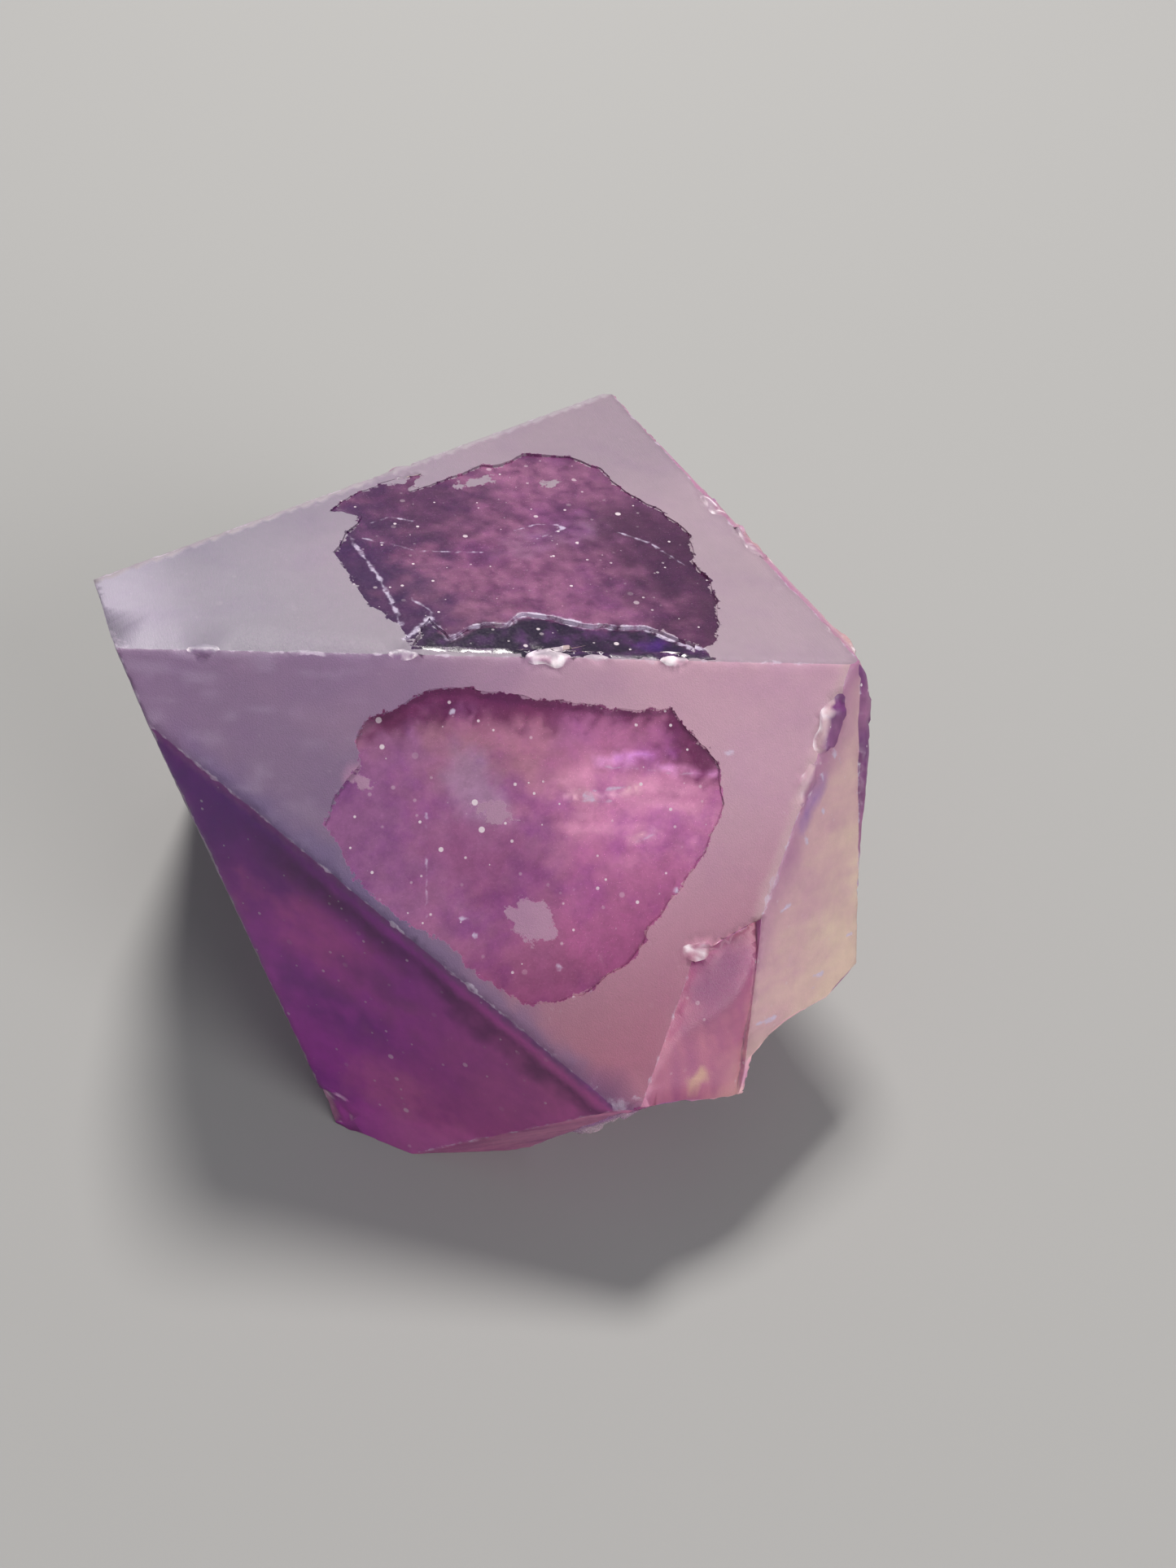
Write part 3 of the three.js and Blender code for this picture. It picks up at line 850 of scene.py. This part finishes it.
# The broken base: milky, with painted shade in its hollows and painted highlights on what stands out.
rough = corner_kind == BROKEN
milky = soft(step(along, 32, 52) + 0.8 * drift)
milky = mix(srgb(180, 98, 186), srgb(240, 206, 212), milky)
milky = mix(milky, srgb(196, 134, 190), 0.7 * step(mottled + middling, 1.05, 1.4))
shading_relief = relief_for_shading[fine.reshape(-1)] + 0.4 * fray
milky = mix(milky, srgb(150, 66, 160), 0.7 * step(shading_relief, 0.1, 0.7))
milky = mix(milky, srgb(250, 232, 236), 0.6 * step(-shading_relief, 0.2, 0.8))
tint[rough] = milky[rough]
frost[rough], clear[rough] = 0.26, 0.45
brow = rough & (under_top < 0.6)  # its edge with the top face, which is ochre in one place
ochre = places["top"][1] + small
ochre = step(ochre, -18, -17) * (1 - step(ochre, -14, -13))
tint[brow] = mix(srgb(190, 172, 168), srgb(200, 168, 122), ochre)[brow]
clear[brow] = 0.15
bevel = rough & (np.abs((corner_points - TIP) @ BEVEL - BEVEL_DISTANCE) < 0.8)
smoky = soft(0.9 * step(40 - corner_points[:, 2], 6, 24) + 0.8 * fray)
tint[bevel] = mix(srgb(122, 54, 122), srgb(190, 130, 166), smoky)[bevel]
frost[bevel], clear[bevel] = 0.45, 0.35

# The step down to the ledge is smooth, in the ledge's own colours.
stepped = rough & stepped_points[fine.reshape(-1)] & ~bevel
pale = mix(srgb(206, 130, 180), srgb(250, 196, 200), step(along + 2 * fray, 42, 46))
tint[stepped] = pale[stepped]
frost[stepped], clear[stepped] = 0.4, 0.2

# Chips along the edges: some are white, most keep the colour of what they broke from.
whitest = np.zeros(len(fine))
middles = points[fine].mean(1)
for name, down_at, across_at, radius, white in CHIPS:
    down, across, height = on_face(name, middles)
    near = np.hypot(down - down_at, across - across_at) < 1.7 * radius
    near &= (height > -2 * radius) & ~np.isin(fine_kind, FLAT)
    whitest = np.maximum(whitest, near * white)
whitest = np.repeat(whitest, 3)
around = beige.copy()
beneath = depths_under(corner_points).argmin(0)
for name, color in (("top", lavender), ("left", deep), ("front", hazy)):
    mine = beneath == NAMES.index(name)
    around[mine] = color[mine]
whiteness = soft(4 * mottled - 2.7 + 1.6 * whitest)
flecks = mix(around, srgb(250, 238, 244), whiteness)
chipped = (whitest > 0) & ~bevel
tint[chipped] = flecks[chipped]
clear[chipped] = (0.5 - 0.3 * whiteness)[chipped]
frost[chipped], grind[chipped] = 0.45, 0.7

# Crack lines and painted sparkles, and islands in the windows that were ground with the face.
crack_and_sparkle_gap, island_gap = np.full((2, len(tint)), 9.0)
for name, kinds, lines, faint in (
    ("top", (*TIP_KINDS, BROKEN), TOP_CRACKS[:1], -0.03),
    ("top", (*TIP_KINDS, BROKEN), TOP_CRACKS[1:], 0),
    ("top", (FLOOR, WALL), TOP_SCRATCHES, 0.1),
    ("front", (FLOOR, WALL), FRONT_STREAKS, 0.13),
    ("front", TIP_KINDS, FRONT_SPARKLES, 0),
):
    here = np.isin(corner_kind, kinds) & ((corner_face == NAMES.index(name)) | (corner_kind == BROKEN))
    d, a, height = places[name]
    for line in lines:
        gap = np.hypot(line_gap(d, a, line), np.where(corner_kind == BROKEN, height, 0)) + faint
        crack_and_sparkle_gap[here] = np.minimum(crack_and_sparkle_gap, gap)[here]
here = corner_kind == SIDE
for line in SIDE_SPARKLES:
    gap = line_gap(along, places["front"][1], line)
    crack_and_sparkle_gap[here] = np.minimum(crack_and_sparkle_gap, gap)[here]
for name, islands in (("top", TOP_ISLANDS), ("front", FRONT_ISLANDS)):
    d, a, _ = places[name]
    here = of(name)
    for at, size, turn in islands:
        island_gap[here] = np.minimum(island_gap, oval_gap(d, a, at, size, turn))[here]

# How far inside a window each corner lies, and how far from the nearest edge of the crystal.
rim_gap = np.full(len(tint), -9.0)
for name in NAMES:
    on_wall = of(name, WALL)
    if on_wall.any():
        outline = np.unique(np.round(flat_on(name, corner_points[on_wall]), 2), axis=0)
        here = of(name)
        gap = nearest(flat_on(name, corner_points[here]), outline)
        rim_gap[here] = np.where(corner_kind[here] == GROUND, -gap, gap)
rim_gap[lip] = 1
is_ridge = ~inner & np.isin(first_kind, (GROUND, SIDE, LEDGED))
is_ridge &= np.isin(last_kind, (GROUND, SIDE, LEDGED, BROKEN))
is_ridge &= ~((chip_points | stepped_points) & (last_kind == BROKEN))
ridge_gap = nearest(points, points[is_ridge])[fine.reshape(-1)]

# ---- make the piece ----
mesh = bpy.data.meshes.new("amethyst_crystal")
mesh.from_pydata((points * MM).tolist(), [], fine.tolist())
mesh.update()


def paint(name, *columns):
    """Write these columns as a colour at each corner of the mesh."""
    values = np.column_stack(columns).astype(np.float32)
    mesh.attributes.new(name, "FLOAT_COLOR", "CORNER").data.foreach_set("color", values.reshape(-1))


paint("tint", tint, np.ones(len(tint)))
paint("cover", frost, clear, grind, np.ones(len(tint)))
paint("polished", polished, see_through)
paint("marks", crack_and_sparkle_gap, island_gap, rim_gap, ridge_gap)
mesh.polygons.foreach_set("use_smooth", np.ones(len(fine), bool))
surfaces_beside = sides_by_edge(fine, surface)
sharp = np.zeros(len(mesh.edges), bool)
for i, e in enumerate(mesh.edges):
    a, b = e.vertices
    codes = surfaces_beside[(min(a, b), max(a, b))]
    kinds = [code // 10 for code in codes]
    rounded = all(k in (GROUND, SIDE) for k in kinds) or LEDGED in kinds[:2]
    blended = (chip_points | stepped_points)[[a, b]].all()
    sharp[i] = codes[0] != codes[1] and not rounded and not blended
mesh.attributes.new("sharp_edge", "BOOLEAN", "EDGE").data.foreach_set("value", sharp)
crystal = bpy.data.objects.new("amethyst_crystal", mesh)
scene = bpy.context.scene
scene.collection.objects.link(crystal)


# ---- the material ----
def node(tree, kind, inputs=None, **settings):
    """A new node; each input gets a link or a value."""
    made = tree.nodes.new("ShaderNode" + kind)
    for name, value in settings.items():
        setattr(made, name, value)
    for name, value in (inputs or {}).items():
        if isinstance(value, bpy.types.NodeSocket):
            tree.links.new(value, made.inputs[name])
        else:
            made.inputs[name].default_value = value
    return made


def amethyst():
    material = bpy.data.materials.new("amethyst_crystal")
    material.use_nodes = True
    tree = material.node_tree
    tree.nodes.clear()

    def noise_of(vector, scale, detail=4, rough=0.6):
        values = {"Vector": vector, "Scale": scale, "Detail": detail, "Roughness": rough}
        return node(tree, "TexNoise", values).outputs["Fac"]

    def ramp(value, low, high, to_low=0.0, to_high=1.0):
        limits = {"Value": value, "From Min": low, "From Max": high, "To Min": to_low, "To Max": to_high}
        return node(tree, "MapRange", limits, interpolation_type="SMOOTHSTEP").outputs["Result"]

    def maths(operation, a, b=0.0, c=0.0):
        return node(tree, "Math", {0: a, 1: b, 2: c}, operation=operation).outputs["Value"]

    def blend(factor, a, b, kind="MIX"):
        made = node(tree, "Mix", data_type="RGBA", blend_type=kind)
        for socket, value in ((made.inputs["Factor"], factor), (made.inputs[6], a), (made.inputs[7], b)):
            if isinstance(value, bpy.types.NodeSocket):
                tree.links.new(value, socket)
            else:
                socket.default_value = value
        return made.outputs[2]

    def painted(name):
        return node(tree, "Attribute", attribute_name=name).outputs

    def parts(color):
        found = node(tree, "SeparateColor", {"Color": color}).outputs
        return found["Red"], found["Green"], found["Blue"]

    place = node(tree, "TexCoord").outputs["Object"]
    in_mm = node(tree, "Mapping", {"Vector": place, "Scale": (1000, 1000, 1000)}).outputs["Vector"]
    tint_in = painted("tint")["Color"]
    polished_in = painted("polished")
    frost_in, clear_in, grind_in = parts(painted("cover")["Color"])
    marks_in = painted("marks")
    crack_and_sparkle_in, island_in, rim_in = parts(marks_in["Color"])
    ridge_in = marks_in["Alpha"]

    cloud = noise_of(in_mm, 0.25, 5)
    wisp = noise_of(in_mm, 0.9, 6, 0.65)
    grain = noise_of(in_mm, 5.0, 5, 0.7)
    ragged = ramp(noise_of(in_mm, 1.1, 3, 0.6), 0.2, 0.8, -1.0, 1.0)
    fringe = ramp(noise_of(in_mm, 4.0, 3, 0.7), 0.2, 0.8, -1.0, 1.0)

    # Where the windows are: their outlines are ragged, and islands in them are ground.
    crenels = maths("MULTIPLY_ADD", ragged, 0.3, maths("MULTIPLY_ADD", fringe, 0.14, rim_in))
    window = ramp(crenels, -0.05, 0.06)
    shore = maths("MULTIPLY_ADD", ragged, 0.4, maths("MULTIPLY_ADD", fringe, 0.15, island_in))
    window = maths("MULTIPLY", window, ramp(shore, -0.1, 0.1))
    color = blend(window, tint_in, polished_in["Color"])
    polish = maths("MAXIMUM", window, maths("SUBTRACT", 1.0, grind_in))
    ground_part = maths("SUBTRACT", 1.0, polish)
    frosted = blend(window, frost_in, (0.22, 0.22, 0.22, 1))
    clearness = blend(window, clear_in, polished_in["Alpha"])

    # Clouds inside the clear parts; a faint unevenness on the ground ones.
    depth = maths("MULTIPLY_ADD", polish, 0.6, 0.15)
    tone = maths("ADD", ramp(wisp, 0.3, 0.7, -0.14, 0.16), ramp(grain, 0.3, 0.7, -0.06, 0.06))
    color = blend(1.0, color, maths("MULTIPLY_ADD", tone, depth, 1.0), "MULTIPLY")
    clouded = maths("MULTIPLY", ramp(cloud, 0.45, 0.7), depth)
    color = blend(clouded, color, (0.72, 0.5, 0.88, 1), "MULTIPLY")

    # White crack lines and painted sparkles, tiny bright specks and worn edges.
    line = maths("SUBTRACT", 1.0, ramp(maths("MULTIPLY_ADD", ragged, 0.16, crack_and_sparkle_in), 0.02, 0.26))
    line = maths("MULTIPLY", line, ramp(wisp, 0.3, 0.55, 0.15, 1.0))
    color = blend(maths("MULTIPLY", line, 0.85), color, (0.66, 0.58, 0.76, 1))
    specks = 0.0
    for scale, share, largest in ((0.6, 0.15, 0.16), (1.2, 0.2, 0.17)):
        cells = node(tree, "TexVoronoi", {"Vector": in_mm, "Scale": scale})
        chance, strength, _ = parts(cells.outputs["Color"])
        size = ramp(chance, share, 1.0, 0.0, largest)
        speck = ramp(maths("SUBTRACT", size, cells.outputs["Distance"]), 0.0, 0.03)
        speck = maths("MULTIPLY", speck, ramp(strength, 0.2, 0.8, 0.2, 1.0))
        specks = maths("MAXIMUM", speck, specks)
    specks = maths("MULTIPLY", specks, maths("MULTIPLY_ADD", polish, 0.8, 0.08))
    color = blend(specks, color, (0.92, 0.8, 0.86, 1))
    width = ramp(noise_of(in_mm, 0.35, 3), 0.5, 0.75, 0.0, 0.36)
    nick = maths("MULTIPLY_ADD", ragged, 0.18, ridge_in)
    nick = maths("SUBTRACT", 1.0, ramp(maths("SUBTRACT", nick, width), -0.03, 0.06))
    nick = maths("MULTIPLY", nick, ramp(wisp, 0.42, 0.6, 0.1, 0.9))
    color = blend(maths("MULTIPLY", nick, 0.7), color, (0.7, 0.6, 0.74, 1))
    milky = maths("MAXIMUM", maths("MULTIPLY", nick, 0.6), maths("MAXIMUM", line, specks))
    clearness = blend(milky, clearness, (0.3, 0.3, 0.3, 1))
    roughness = maths("ADD", frosted, ramp(grain, 0.25, 0.75, -0.07, 0.07))

    # The grind marks run one way; the clear parts have low hillocks.
    run = {"Vector": in_mm, "Rotation": (0.3, 0.5, 0.9), "Scale": (9.0, 1.1, 9.0)}
    scratch = noise_of(node(tree, "Mapping", run).outputs["Vector"], 1.0, 3)
    grit = noise_of(in_mm, 14.0, 2)
    height = maths("MULTIPLY", maths("ADD", scratch, grit), ground_part)
    hillocks = maths("MULTIPLY_ADD", wisp, 3.0, grain)
    height = maths("ADD", height, maths("MULTIPLY", hillocks, maths("MULTIPLY", polish, 0.3)))
    bump = node(tree, "Bump", {"Height": height, "Strength": 0.35, "Distance": 0.00006})
    surface_values = {
        "Base Color": color,
        "Roughness": roughness,
        "Transmission Weight": clearness,
        "IOR": QUARTZ_IOR,
        "Normal": bump.outputs["Normal"],
    }
    shader = node(tree, "BsdfPrincipled", surface_values)
    absorb = node(tree, "VolumeAbsorption", {"Color": (0.78, 0.25, 0.8, 1), "Density": 20.0})
    node(tree, "OutputMaterial", {"Surface": shader.outputs["BSDF"], "Volume": absorb.outputs["Volume"]})
    return material


mesh.materials.append(amethyst())
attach(crystal, "root")
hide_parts("amethyst_point")

# ---- floor, light and camera ----
bpy.ops.mesh.primitive_plane_add(size=4, location=(0, 0, 0))
studio_floor = bpy.context.object
studio_floor.name = "studio_floor"
floor_material = bpy.data.materials.new("studio_floor")
floor_material.use_nodes = True
floor_inputs = floor_material.node_tree.nodes["Principled BSDF"].inputs
floor_inputs["Base Color"].default_value = (0.3, 0.3, 0.296, 1)
floor_inputs["Roughness"].default_value = 0.8
studio_floor.data.materials.append(floor_material)


def soft_light(name, towards, distance, size, power, color):
    lamp = bpy.data.lights.new(name, "AREA")
    lamp.shape = "DISK"
    lamp.size = size
    lamp.energy = power
    lamp.color = color
    holder = bpy.data.objects.new(name, lamp)
    place = Vector(towards).normalized() * distance
    holder.location = place
    holder.rotation_euler = place.to_track_quat("Z", "Y").to_euler()
    scene.collection.objects.link(holder)


soft_light("key_light", (0.171, 0.47, 0.866), 0.9, 0.2, 9.5, (1, 0.96, 0.92))
soft_light("fill_light", (0.453, -0.785, 0.423), 1.0, 0.6, 6, (1, 0.97, 0.96))
world = bpy.data.worlds.new("studio")
world.use_nodes = True
sky = world.node_tree.nodes["Background"].inputs
sky["Color"].default_value = (0.92, 0.95, 1, 1)
sky["Strength"].default_value = 0.32
scene.world = world

lens = bpy.data.cameras.new("camera")
lens.sensor_width = 36
lens.lens = FOCAL_LENGTH
lens.clip_start = 0.005
camera = bpy.data.objects.new("camera", lens)
camera.location = (TIP + CAMERA_FROM_TIP) * MM
camera.rotation_euler = [math.radians(angle) for angle in CAMERA_ANGLES]
scene.collection.objects.link(camera)
scene.camera = camera
scene.view_settings.view_transform = "Standard"
